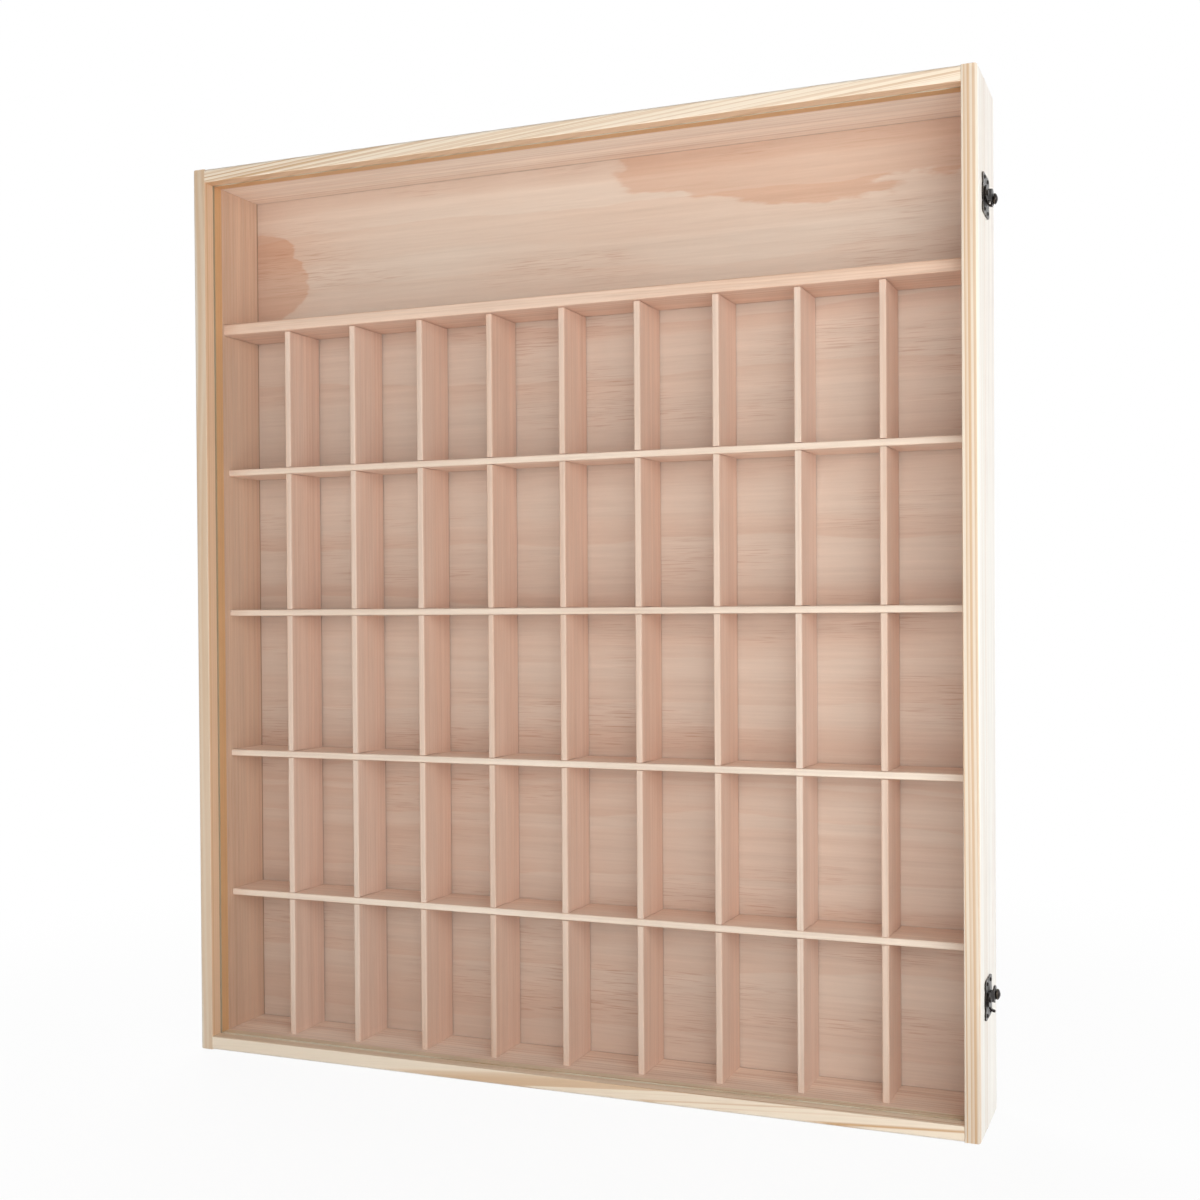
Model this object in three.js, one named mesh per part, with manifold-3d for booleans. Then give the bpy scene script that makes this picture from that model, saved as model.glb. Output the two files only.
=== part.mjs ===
import * as THREE from 'three';
import { mergeVertices } from 'three/addons/utils/BufferGeometryUtils.js';
import Module from 'manifold-3d';

// A shallow pine display cabinet for action figures: a glazed door hinged on the left,
// one tall compartment across the top and a cross-lapped grid of cells under it.
// Millimetres, +Z up, the door faces -Y. The origin is the centre of the footprint.

const wasm = await Module();
wasm.setup();

// Cabinet
const cabinetWidth = 700;
const cabinetHeight = 800;
const cabinetDepth = 85;
const boardThickness = 12.5;
const outlineRadius = 2.5;
const arrisRadius = 2.5;
const rearArrisRadius = 2;
const innerArrisRadius = 0.8;
const arcSteps = 4;

// Clearances
const fitGap = 0.3;
const seamGap = 0.5;
const doorReveal = 0.5;
const gridBackGap = 0.8;
const cutOverrun = 2;
const mergeDistance = 1e-5;

// Door: a lip round its back laps over a tongue on the case and keeps dust out
const doorDepth = 33;
const doorRevealDepth = 24.6;
const lipThickness = 6;
const glazingThickness = 2;
const glazingSetback = 12.5;
const glazingGrooveDepth = 4;

// Case joints
const backPanelThickness = 4;
const backRebateWidth = 5;
const cornerTongueLength = 4;
const cornerTongueThickness = 6;
const cornerTongueSetback = 2;
const housingDepth = 4;

// Shelves and grid
const displayShelfThickness = 10;
const displayShelfSetback = 2.3;
const displayShelfArrisRadius = 1.5;
const gridBoardThickness = 5.8;
const gridSetback = 7;
const gridArrisRadius = 1.2;
const gridEndGap = 0.4;
const gridRows = 5;
const gridColumns = 10;

// Keyholes in the back edges of the sides
const keyholeDrop = 62;
const keyholeEntryRadius = 2.9;
const keyholeNeckRadius = 1.5;
const keyholeTravel = 9;
const keyholeDepth = 9;
const keyholeLipDepth = 3;

// Small screws
const screwHeadRadius = 1.6;
const screwHeadHeight = 0.8;
const screwShankRadius = 0.8;
const screwLength = 4.6;
const screwTipLength = 1.4;
const screwPilotDepth = 5;
const screwSides = 8;

// Surface hinges on the left
const hingeInset = 100;
const hingeLength = 30;
const hingeLeafWidth = 12;
const hingeLeafThickness = 1;
const hingeLeafCornerRadius = 2.5;
const hingeKnuckleRadius = 2.2;
const hingePinRadius = 0.9;
const hingeMiddleKnuckleLength = 10;
const hingePinHeadRadius = 1.6;
const hingePinHeadHeight = 1;
const hingeScrewSpacing = 18;
const hingeScrewSetback = 7.4;
const roundSides = 24;

// Swing latches on the right
const lowerLatchHeight = 102;
const upperLatchDrop = 90;
const latchPlateHeight = 30.4;
const latchPlateThickness = 1.2;
const latchPlateSeamGap = 0.6;
const doorPlateWidth = 16;
const catchPlateWidth = 17.5;
const pivotSetback = 7;
const postSetback = 12;
const latchScrewSpacing = 24;
const doorPlateScrewSetback = 8;
const catchPlateScrewSetback = 8.4;
const rivetRadius = 1.3;
const rivetHeadRadius = 2.6;
const rivetHeadHeight = 1;
const postCollarRadius = 3;
const postCollarHeight = 0.7;
const postNeckRadius = 1.7;
const postSlotGap = 0.4;
const postHeadRadius = 4.3;
const postHeadHeight = 2.9;
const hookThickness = 1.4;
const hookEyeRadius = 5.6;
const hookArmHalfWidth = 3.4;
const hookCrankRise = 2;
const hookCrankStart = 6;
const hookCrankLength = 3;
const hookHeadRadius = 6.6;
const hookHeadSetback = 1.8;
const hookHeadLift = 0.6;
const hookTailReach = 2.2;
const hookTailWidth = 3;
const hookTailDrop = 5.2;
const hookCurlRadius = 3.2;
const hookCurlTurn = 95;
const hookCurlSteps = 8;

// The outer edge of a latch plate from its upper end to its middle, as [control, end] pairs
// of [share of its width, share of its half height]
const latchPlateEdgeShares = [
  [[0.94, 1.0], [0.98, 0.8]],
  [[0.96, 0.6], [0.86, 0.46]],
  [[0.98, 0.32], [1.0, 0.0]],
];
const latchPlateShoulderShare = 0.6;
const curveSteps = 5;

// Places that follow from the sizes
const halfWidth = cabinetWidth / 2;
const innerX = halfWidth - boardThickness;
const innerTop = cabinetHeight - boardThickness;
const caseFront = doorDepth + seamGap;
const tongueFront = doorRevealDepth + fitGap;
const tongueInset = lipThickness + fitGap;
const backPanelFront = cabinetDepth - backPanelThickness;
const backRebateInset = boardThickness - backRebateWidth;
const glazingGrooveFront = glazingSetback - fitGap;
const glazingGrooveBack = glazingSetback + glazingThickness + fitGap;
const glazingGrooveInset = boardThickness - glazingGrooveDepth;
const gridBoards = gridRows - 1;
const cellHeight =
  (innerTop - boardThickness - displayShelfThickness - gridBoards * gridBoardThickness) / (gridRows + 1);
const cellWidth = (2 * innerX - (gridColumns - 1) * gridBoardThickness) / gridColumns;
const displayShelfBottom = innerTop - cellHeight - displayShelfThickness;
const gridFront = tongueFront + gridSetback;
const shelfBack = backPanelFront - gridBackGap;
const lapDepth = (gridFront + shelfBack) / 2;
const seamDepth = doorDepth + seamGap / 2;
const hingeHeights = [hingeInset, cabinetHeight - hingeInset];
const latchHeights = [lowerLatchHeight, cabinetHeight - upperLatchDrop];

const depthToY = (depth) => depth - cabinetDepth / 2;
const gridShelfBottom = (row) => boardThickness + row * cellHeight + (row - 1) * gridBoardThickness;
const dividerLeft = (column) => -innerX + column * cellWidth + (column - 1) * gridBoardThickness;

// Materials
function finish(color, roughness, metalness, extra = {}) {
  return new THREE.MeshStandardMaterial({ color, roughness, metalness, ...extra });
}
const framePine = () => finish(0xe4cba6, 0.55, 0);
const casePine = () => finish(0xdcc4a8, 0.6, 0);
const gridPine = () => finish(0xd9bea2, 0.6, 0);
const backBoard = () => finish(0xcdb092, 0.65, 0);
const clearAcrylic = () => finish(0xe8f2f2, 0.05, 0, { transparent: true, opacity: 0.2 });
const agedBronze = () => finish(0x3b3431, 0.45, 0.8);

// Solids
function solidOf(geometry) {
  const bare = geometry.clone();
  bare.deleteAttribute('normal');
  bare.deleteAttribute('uv');
  const merged = mergeVertices(bare, mergeDistance);
  const vertProperties = new Float32Array(merged.getAttribute('position').array);
  const triVerts = new Uint32Array(merged.index.array);
  return new wasm.Manifold(new wasm.Mesh({ numProp: 3, vertProperties, triVerts }));
}

function geometryOf(solid) {
  const mesh = solid.getMesh();
  const indexed = new THREE.BufferGeometry();
  indexed.setAttribute('position', new THREE.BufferAttribute(new Float32Array(mesh.vertProperties), 3));
  indexed.setIndex(new THREE.BufferAttribute(new Uint32Array(mesh.triVerts), 1));
  const geometry = indexed.toNonIndexed();
  geometry.computeVertexNormals();
  return geometry;
}

function box(xs, ys, zs) {
  const low = [Math.min(...xs), Math.min(...ys), Math.min(...zs)];
  const high = [Math.max(...xs), Math.max(...ys), Math.max(...zs)];
  const geometry = new THREE.BoxGeometry(high[0] - low[0], high[1] - low[1], high[2] - low[2]);
  geometry.translate((low[0] + high[0]) / 2, (low[1] + high[1]) / 2, (low[2] + high[2]) / 2);
  return solidOf(geometry);
}

// A closed outline whose corners are [across, up] or [across, up, radius]
function outline(corners) {
  const points = corners.flatMap(([x, y, radius = 0], index) => {
    const corner = new THREE.Vector2(x, y);
    if (radius === 0) return [corner];
    const before = corners.at(index - 1);
    const after = corners[(index + 1) % corners.length];
    const toBefore = new THREE.Vector2(before[0], before[1]).sub(corner).normalize();
    const toAfter = new THREE.Vector2(after[0], after[1]).sub(corner).normalize();
    const halfAngle = Math.acos(toBefore.dot(toAfter)) / 2;
    const middle = toBefore.clone().add(toAfter).normalize();
    const centre = corner.clone().addScaledVector(middle, radius / Math.sin(halfAngle));
    const start = corner.clone().addScaledVector(toBefore, radius / Math.tan(halfAngle)).sub(centre);
    const end = corner.clone().addScaledVector(toAfter, radius / Math.tan(halfAngle)).sub(centre);
    const turn = Math.atan2(start.cross(end), start.dot(end));
    return Array.from({ length: arcSteps + 1 }, (_, step) =>
      start.clone().rotateAround(new THREE.Vector2(), (turn * step) / arcSteps).add(centre));
  });
  return new THREE.Shape(points);
}

const alongX = new THREE.Matrix4().set(0, 0, 1, 0, 1, 0, 0, 0, 0, 1, 0, 0, 0, 0, 0, 1);
const alongY = new THREE.Matrix4().set(1, 0, 0, 0, 0, 0, -1, 0, 0, 1, 0, 0, 0, 0, 0, 1);

function extrude(shape, length) {
  return new THREE.ExtrudeGeometry(shape, { depth: length, bevelEnabled: false, curveSegments: curveSteps });
}

// Prisms: the shape is drawn in (y, z), (x, z) or (x, y) and runs along the axis that is left
function prismX(shape, low, high) {
  return solidOf(extrude(shape, high - low).applyMatrix4(alongX).translate(low, 0, 0));
}

function prismY(shape, low, high) {
  return solidOf(extrude(shape, high - low).applyMatrix4(alongY).translate(0, high, 0));
}

function prismZ(shape, low, high) {
  return solidOf(extrude(shape, high - low).translate(0, 0, low));
}

const turnToX = new THREE.Matrix4().set(0, 1, 0, 0, 0, 0, 1, 0, 1, 0, 0, 0, 0, 0, 0, 1);
const turnToZ = new THREE.Matrix4().set(0, 0, 1, 0, 1, 0, 0, 0, 0, 1, 0, 0, 0, 0, 0, 1);

// A turned piece from a profile of [place along the axis, radius], its axis moved by an offset
function turned(profile, sides, direction, offset) {
  const points = profile.map(([place, radius]) => new THREE.Vector2(radius, place));
  const geometry = new THREE.LatheGeometry(points, sides);
  return solidOf(geometry.applyMatrix4(direction).translate(...offset));
}

function turnedX(profile, { sides = roundSides, y = 0, z = 0 } = {}) {
  return turned(profile, sides, turnToX, [0, y, z]);
}

function turnedZ(profile, { sides = roundSides, x = 0, y = 0 } = {}) {
  return turned(profile, sides, turnToZ, [x, y, 0]);
}

function rod(radius, low, high) {
  return [[low, 0], [low, radius], [high, radius], [high, 0]];
}

function holeX(radius, low, high, y, z, sides = roundSides) {
  return turnedX(rod(radius, low, high), { sides, y, z });
}

function mesh(name, solid, material) {
  const piece = new THREE.Mesh(geometryOf(solid), material);
  piece.name = name;
  return piece;
}

// Where the small screws of the hinges and latches enter the wood
function hingeScrewPlaces(leafSign) {
  return hingeHeights.flatMap((height) => [-1, 1].map((end) => ({
    depth: seamDepth + leafSign * hingeScrewSetback,
    height: height + (end * hingeScrewSpacing) / 2,
  })));
}

function latchScrewPlaces(plateSign, setback) {
  return latchHeights.flatMap((height) => [-1, 1].map((end) => ({
    depth: seamDepth + plateSign * setback,
    height: height + (end * latchScrewSpacing) / 2,
  })));
}

function drillPilots(solid, side, places) {
  const surface = side * (halfWidth + cutOverrun);
  const floor = side * (halfWidth - screwPilotDepth);
  const low = Math.min(surface, floor);
  const high = Math.max(surface, floor);
  return places.reduce((left, { depth, height }) => left.subtract(
    holeX(screwShankRadius + fitGap, low, high, depthToY(depth), height, screwSides)), solid);
}

// Case
function outlinePrism(reveal, depths) {
  const shape = outline([
    [-halfWidth, reveal, outlineRadius],
    [halfWidth, reveal, outlineRadius],
    [halfWidth, cabinetHeight - reveal, outlineRadius],
    [-halfWidth, cabinetHeight - reveal, outlineRadius],
  ]);
  return prismY(shape, depthToY(depths[0]), depthToY(depths[1]));
}

function keyhole(side) {
  const x = side * (halfWidth - backRebateInset / 2);
  const bottom = cabinetHeight - keyholeDrop;
  const edge = depthToY(cabinetDepth) + cutOverrun;
  const floor = depthToY(cabinetDepth - keyholeDepth);
  const lip = depthToY(cabinetDepth - keyholeLipDepth);
  const slot = (radius) => {
    const shape = new THREE.Shape();
    shape.absarc(x, bottom, radius, Math.PI, 2 * Math.PI, false);
    shape.absarc(x, bottom + keyholeTravel, radius, 0, Math.PI, false);
    return shape;
  };
  const entry = new THREE.Shape().absarc(x, bottom, keyholeEntryRadius, 0, 2 * Math.PI, false);
  return prismY(slot(keyholeNeckRadius), floor, edge)
    .add(prismY(slot(keyholeEntryRadius), floor, lip))
    .add(prismY(entry, floor, edge));
}

function caseSide(side) {
  const across = (inset) => side * (halfWidth - inset);
  const section = outline([
    [across(0), depthToY(caseFront)],
    [across(tongueInset), depthToY(caseFront)],
    [across(tongueInset), depthToY(tongueFront)],
    [across(boardThickness), depthToY(tongueFront)],
    [across(boardThickness), depthToY(cabinetDepth)],
    [across(0), depthToY(cabinetDepth), rearArrisRadius],
  ]);
  const insideFace = across(boardThickness + cutOverrun);
  let solid = prismZ(section, 0, cabinetHeight).intersect(outlinePrism(0, [0, cabinetDepth]));
  const tongueFace = [depthToY(tongueFront - cutOverrun), depthToY(caseFront)];
  for (const [end, inset] of [[-cutOverrun, tongueInset], [cabinetHeight + cutOverrun, cabinetHeight - tongueInset]]) {
    solid = solid.subtract(box([across(tongueInset), insideFace], tongueFace, [end, inset]));
  }
  solid = solid.subtract(box(
    [across(backRebateInset), insideFace],
    [depthToY(backPanelFront), depthToY(cabinetDepth + cutOverrun)],
    [backRebateInset, cabinetHeight - backRebateInset]));
  solid = solid.subtract(box(
    [across(boardThickness - housingDepth), insideFace],
    [depthToY(tongueFront + displayShelfSetback - fitGap), depthToY(backPanelFront)],
    [displayShelfBottom - fitGap, displayShelfBottom + displayShelfThickness + fitGap]));
  const grooveFront = caseFront + cornerTongueSetback - fitGap;
  const grooveBack = backPanelFront - cornerTongueSetback + fitGap;
  for (const [level, outwards] of [[boardThickness, -1], [innerTop, 1]]) {
    solid = solid.subtract(box(
      [across(boardThickness - cornerTongueLength - fitGap), insideFace],
      [depthToY(grooveFront), depthToY(grooveBack)],
      [level, level + outwards * (cornerTongueThickness + fitGap)]));
  }
  return solid.subtract(keyhole(side));
}

function leftCaseSide() {
  return drillPilots(caseSide(-1), -1, hingeScrewPlaces(1));
}

function rightCaseSide() {
  return drillPilots(caseSide(1), 1, latchScrewPlaces(1, catchPlateScrewSetback));
}

// The top and bottom boards: up(inset) gives the height at an inset from the outer face
function caseEnd(up) {
  const section = outline([
    [depthToY(caseFront), up(0)],
    [depthToY(cabinetDepth), up(0), rearArrisRadius],
    [depthToY(cabinetDepth), up(backRebateInset)],
    [depthToY(backPanelFront), up(backRebateInset)],
    [depthToY(backPanelFront), up(boardThickness)],
    [depthToY(tongueFront), up(boardThickness)],
    [depthToY(tongueFront), up(tongueInset)],
    [depthToY(caseFront), up(tongueInset)],
  ]);
  const tongue = box(
    [-innerX - cornerTongueLength, innerX + cornerTongueLength],
    [depthToY(caseFront + cornerTongueSetback), depthToY(backPanelFront - cornerTongueSetback)],
    [up(boardThickness - cornerTongueThickness), up(boardThickness)]);
  return prismX(section, -innerX, innerX).add(tongue);
}

function backPanel() {
  const reach = backRebateWidth - fitGap;
  return box(
    [-innerX - reach, innerX + reach],
    [depthToY(backPanelFront), depthToY(cabinetDepth)],
    [boardThickness - reach, innerTop + reach]);
}

// Shelves and dividers
function shelfBoard(front, bottom, thickness, arris, reach) {
  const section = outline([
    [depthToY(front), bottom, arris],
    [depthToY(shelfBack), bottom],
    [depthToY(shelfBack), bottom + thickness],
    [depthToY(front), bottom + thickness, arris],
  ]);
  return prismX(section, -reach, reach);
}

function displayShelf() {
  return shelfBoard(
    tongueFront + displayShelfSetback, displayShelfBottom, displayShelfThickness,
    displayShelfArrisRadius, innerX + housingDepth - fitGap);
}

// A grid shelf is slotted from its back edge to the middle, over every divider
function gridShelf(row) {
  const bottom = gridShelfBottom(row);
  let solid = shelfBoard(gridFront, bottom, gridBoardThickness, gridArrisRadius, innerX - gridEndGap);
  for (let column = 1; column < gridColumns; column += 1) {
    const left = dividerLeft(column);
    solid = solid.subtract(box(
      [left - fitGap, left + gridBoardThickness + fitGap],
      [depthToY(lapDepth - fitGap / 2), depthToY(shelfBack + cutOverrun)],
      [bottom - cutOverrun, bottom + gridBoardThickness + cutOverrun]));
  }
  return solid;
}

// A divider is slotted from its front edge to the middle, so that the shelves run through in front
function divider(column) {
  const left = dividerLeft(column);
  const section = outline([
    [left, depthToY(gridFront), gridArrisRadius],
    [left + gridBoardThickness, depthToY(gridFront), gridArrisRadius],
    [left + gridBoardThickness, depthToY(shelfBack)],
    [left, depthToY(shelfBack)],
  ]);
  let solid = prismZ(section, boardThickness, displayShelfBottom - fitGap);
  for (let row = 1; row <= gridBoards; row += 1) {
    const bottom = gridShelfBottom(row);
    solid = solid.subtract(box(
      [left - cutOverrun, left + gridBoardThickness + cutOverrun],
      [depthToY(gridFront - cutOverrun), depthToY(lapDepth + fitGap / 2)],
      [bottom - fitGap, bottom + gridBoardThickness + fitGap]));
  }
  return solid;
}

// Door
function doorStile(side) {
  const across = (inset) => side * (halfWidth - inset);
  const section = outline([
    [across(0), depthToY(0), arrisRadius],
    [across(boardThickness), depthToY(0), innerArrisRadius],
    [across(boardThickness), depthToY(doorDepth)],
    [across(0), depthToY(doorDepth)],
  ]);
  const insideFace = across(boardThickness + cutOverrun);
  const rebate = box(
    [across(lipThickness), insideFace],
    [depthToY(doorRevealDepth), depthToY(doorDepth + cutOverrun)],
    [lipThickness, cabinetHeight - lipThickness]);
  const groove = box(
    [across(glazingGrooveInset), insideFace],
    [depthToY(glazingGrooveFront), depthToY(glazingGrooveBack)],
    [-cutOverrun, cabinetHeight + cutOverrun]);
  return prismZ(section, doorReveal, cabinetHeight - doorReveal)
    .intersect(outlinePrism(doorReveal, [-cutOverrun, cabinetDepth]))
    .subtract(rebate)
    .subtract(groove);
}

function leftDoorStile() {
  return drillPilots(doorStile(-1), -1, hingeScrewPlaces(-1));
}

function rightDoorStile() {
  return drillPilots(doorStile(1), 1, latchScrewPlaces(-1, doorPlateScrewSetback));
}

// The rails stand between the stiles, with a stub tenon in each stile's glazing groove
function doorRail(up) {
  const section = outline([
    [depthToY(0), up(doorReveal), arrisRadius],
    [depthToY(doorDepth), up(doorReveal)],
    [depthToY(doorDepth), up(lipThickness)],
    [depthToY(doorRevealDepth), up(lipThickness)],
    [depthToY(doorRevealDepth), up(boardThickness)],
    [depthToY(glazingGrooveBack), up(boardThickness)],
    [depthToY(glazingGrooveBack), up(glazingGrooveInset)],
    [depthToY(glazingGrooveFront), up(glazingGrooveInset)],
    [depthToY(glazingGrooveFront), up(boardThickness)],
    [depthToY(0), up(boardThickness), innerArrisRadius],
  ]);
  const tenonReach = innerX + glazingGrooveDepth - fitGap;
  const tenon = box(
    [-tenonReach, tenonReach],
    [depthToY(glazingSetback), depthToY(glazingSetback + glazingThickness)],
    [up(doorReveal), up(glazingGrooveInset)]);
  return prismX(section, -innerX, innerX).add(tenon);
}

function glazingPanel() {
  const reach = glazingGrooveDepth - fitGap;
  return box(
    [-innerX - reach, innerX + reach],
    [depthToY(glazingSetback), depthToY(glazingSetback + glazingThickness)],
    [boardThickness - reach, innerTop + reach]);
}

// A small dome-headed screw along X, its head's underside at the given place
function screw(seat) {
  return turnedX([
    [seat - screwLength, 0],
    [seat - screwLength + screwTipLength, screwShankRadius],
    [seat, screwShankRadius],
    [seat, screwHeadRadius],
    [seat + screwHeadHeight / 2, screwHeadRadius * Math.cos(Math.PI / 6)],
    [seat + screwHeadHeight, screwHeadRadius / 2],
    [seat + screwHeadHeight, 0],
  ], { sides: screwSides });
}

// Hinges, in a frame at the seam on the outer face: +X out of the wood, +Y to the front
const hingeAxisOut = hingeKnuckleRadius + fitGap;

function hingeKnuckle(towards, low, high) {
  const foot = box([0, hingeLeafThickness], [0, towards * (hingeKnuckleRadius + 2 * fitGap)], [low, high]);
  return turnedZ(rod(hingeKnuckleRadius, low, high), { x: hingeAxisOut }).add(foot);
}

function hingeLeaf(towards, knuckles) {
  const clearOfBarrel = towards * (hingeKnuckleRadius + fitGap);
  const farEdge = towards * hingeLeafWidth;
  const plate = outline([
    [clearOfBarrel, -hingeLength / 2],
    [farEdge, -hingeLength / 2, hingeLeafCornerRadius],
    [farEdge, hingeLength / 2, hingeLeafCornerRadius],
    [clearOfBarrel, hingeLength / 2],
  ]);
  let solid = prismX(plate, 0, hingeLeafThickness);
  for (const [low, high] of knuckles) {
    solid = solid.add(hingeKnuckle(towards, low, high));
  }
  const bore = rod(hingePinRadius + fitGap, -hingeLength, hingeLength);
  solid = solid.subtract(turnedZ(bore, { x: hingeAxisOut }));
  for (const end of [-1, 1]) {
    solid = solid.subtract(holeX(
      screwShankRadius + fitGap, -cutOverrun, hingeLeafThickness + cutOverrun,
      towards * hingeScrewSetback, (end * hingeScrewSpacing) / 2, screwSides));
  }
  return solid;
}

function hingePin() {
  const reach = hingeLength / 2 + fitGap;
  return turnedZ([
    [-reach - hingePinHeadHeight, 0],
    [-reach - hingePinHeadHeight, hingePinHeadRadius / 2],
    [-reach - hingePinHeadHeight / 2, hingePinHeadRadius],
    [-reach, hingePinHeadRadius],
    [-reach, hingePinRadius],
    [reach, hingePinRadius],
    [reach, hingePinHeadRadius],
    [reach + hingePinHeadHeight / 2, hingePinHeadRadius],
    [reach + hingePinHeadHeight, hingePinHeadRadius / 2],
    [reach + hingePinHeadHeight, 0],
  ], { x: hingeAxisOut });
}

function hinge(label, height) {
  const group = new THREE.Group();
  group.position.set(-halfWidth, depthToY(seamDepth), height);
  group.rotation.z = Math.PI;
  const middle = hingeMiddleKnuckleLength / 2;
  const outer = [[-hingeLength / 2, -middle - fitGap], [middle + fitGap, hingeLength / 2]];
  group.add(mesh(`${label}_hinge_door_leaf`, hingeLeaf(1, [[-middle, middle]]), agedBronze()));
  group.add(mesh(`${label}_hinge_case_leaf`, hingeLeaf(-1, outer), agedBronze()));
  group.add(mesh(`${label}_hinge_pin`, hingePin(), agedBronze()));
  for (const [leaf, sign] of [['door', 1], ['case', -1]]) {
    for (const [place, end] of [['lower', -1], ['upper', 1]]) {
      const piece = mesh(
        `${label}_hinge_${leaf}_screw_${place}`, screw(hingeLeafThickness + fitGap / 2), agedBronze());
      piece.position.set(0, sign * hingeScrewSetback, (end * hingeScrewSpacing) / 2);
      group.add(piece);
    }
  }
  return group;
}

// Latches, in a frame at the seam on the outer face: +X out of the wood, +Y to the back
function latchPlate(towards, width, screwSetback, boreSetback) {
  const half = latchPlateHeight / 2;
  const place = ([across, up]) => [
    towards * (latchPlateSeamGap + across * (width - latchPlateSeamGap)), up * half];
  const shape = new THREE.Shape();
  shape.moveTo(...place([0, -1]));
  shape.lineTo(...place([0, 1]));
  shape.lineTo(...place([latchPlateShoulderShare, 1]));
  for (const [control, end] of latchPlateEdgeShares) {
    shape.quadraticCurveTo(...place(control), ...place(end));
  }
  const downwards = ([across, up]) => place([across, -up]);
  const starts = [[latchPlateShoulderShare, 1], ...latchPlateEdgeShares.map(([, end]) => end)];
  for (let index = latchPlateEdgeShares.length - 1; index >= 0; index -= 1) {
    shape.quadraticCurveTo(...downwards(latchPlateEdgeShares[index][0]), ...downwards(starts[index]));
  }
  const holes = [
    [boreSetback, 0, rivetRadius + fitGap, roundSides],
    [screwSetback, -latchScrewSpacing / 2, screwShankRadius + fitGap, screwSides],
    [screwSetback, latchScrewSpacing / 2, screwShankRadius + fitGap, screwSides],
  ];
  return holes.reduce((solid, [setback, up, radius, sides]) => solid.subtract(
    holeX(radius, -cutOverrun, latchPlateThickness + cutOverrun, towards * setback, up, sides)),
  prismX(shape, 0, latchPlateThickness));
}

const hookSeat = latchPlateThickness + fitGap;
const hookReach = pivotSetback + postSetback;
const hookSlotRadius = postNeckRadius + postSlotGap;
const hookRaised = hookSeat + hookCrankRise;
const hookHeadReach = hookReach - hookHeadSetback;

// The flat outline of the hook, with its pivot at the frame's origin and its slot over the post
function hookOutline() {
  const eye = prismX(new THREE.Shape().absarc(0, 0, hookEyeRadius, 0, 2 * Math.PI, false),
    0, hookRaised + hookThickness);
  const head = prismX(
    new THREE.Shape().absarc(hookHeadReach, hookHeadLift, hookHeadRadius, 0, 2 * Math.PI, false),
    0, hookRaised + hookThickness);
  const arm = prismX(outline([
    [0, -hookArmHalfWidth],
    [hookHeadReach, -hookArmHalfWidth],
    [hookHeadReach - hookHeadRadius / 2, hookHeadLift + (hookHeadRadius * Math.sqrt(3)) / 2],
    [0, hookArmHalfWidth],
  ]), 0, hookRaised + hookThickness);
  return eye.add(arm).add(head);
}

// The slot follows an arc about the pivot, so that the hook lifts off the post without binding
function hookSlot() {
  const drop = Math.PI / 4;
  const inner = hookReach - hookSlotRadius;
  const outer = hookReach + hookSlotRadius;
  const shape = new THREE.Shape();
  shape.absarc(0, 0, outer, 0, -drop, true);
  shape.absarc(0, 0, inner, -drop, 0, false);
  const bore = new THREE.Shape().absarc(hookReach, 0, hookSlotRadius, 0, 2 * Math.PI, false);
  const span = [-cutOverrun, hookRaised + hookThickness + cutOverrun];
  return prismX(shape, ...span).add(prismX(bore, ...span));
}

// The strip that the hook is pressed from: flat at the eye, cranked outwards, flat at the post
function hookStrip() {
  const low = hookHeadLift - hookHeadRadius - cutOverrun;
  const high = hookHeadLift + hookHeadRadius + cutOverrun;
  const crankEnd = hookCrankStart + hookCrankLength;
  const farEnd = hookReach + hookHeadRadius + cutOverrun;
  const nearEnd = -hookEyeRadius - cutOverrun;
  const strip = outline([
    [hookSeat, nearEnd],
    [hookSeat, hookCrankStart],
    [hookRaised, crankEnd],
    [hookRaised, farEnd],
    [hookRaised + hookThickness, farEnd],
    [hookRaised + hookThickness, crankEnd],
    [hookSeat + hookThickness, hookCrankStart],
    [hookSeat + hookThickness, nearEnd],
  ]);
  return prismZ(strip, low, high);
}

// The thumb tail hangs from the eye and curls outwards to its end
function hookTail() {
  const centre = hookSeat + hookThickness + hookCurlRadius;
  const turn = THREE.MathUtils.degToRad(hookCurlTurn);
  const arc = (radius, step) => {
    const angle = (turn * step) / hookCurlSteps;
    return [centre - radius * Math.cos(angle), -hookTailDrop - radius * Math.sin(angle)];
  };
  const steps = Array.from({ length: hookCurlSteps + 1 }, (_, step) => step);
  const inner = steps.map((step) => arc(hookCurlRadius, step));
  const outer = steps.map((step) => arc(hookCurlRadius + hookThickness, step));
  const profile = outline([
    [hookSeat, -hookTailDrop / 2],
    ...outer,
    ...inner.reverse(),
    [hookSeat + hookThickness, -hookTailDrop / 2],
  ]);
  return prismY(profile, hookTailReach, hookTailReach + hookTailWidth);
}

function hook() {
  return hookStrip()
    .intersect(hookOutline())
    .add(hookTail())
    .subtract(hookSlot())
    .subtract(holeX(rivetRadius + fitGap, -cutOverrun, hookRaised + hookThickness, 0, 0));
}

function pivotRivet() {
  const headSeat = hookSeat + hookThickness + fitGap;
  return turnedX([
    [fitGap / 2, 0],
    [fitGap / 2, rivetRadius],
    [headSeat, rivetRadius],
    [headSeat, rivetHeadRadius],
    [headSeat + rivetHeadHeight / 2, rivetHeadRadius * Math.cos(Math.PI / 6)],
    [headSeat + rivetHeadHeight, rivetHeadRadius / 2],
    [headSeat + rivetHeadHeight, 0],
  ]);
}

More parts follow.
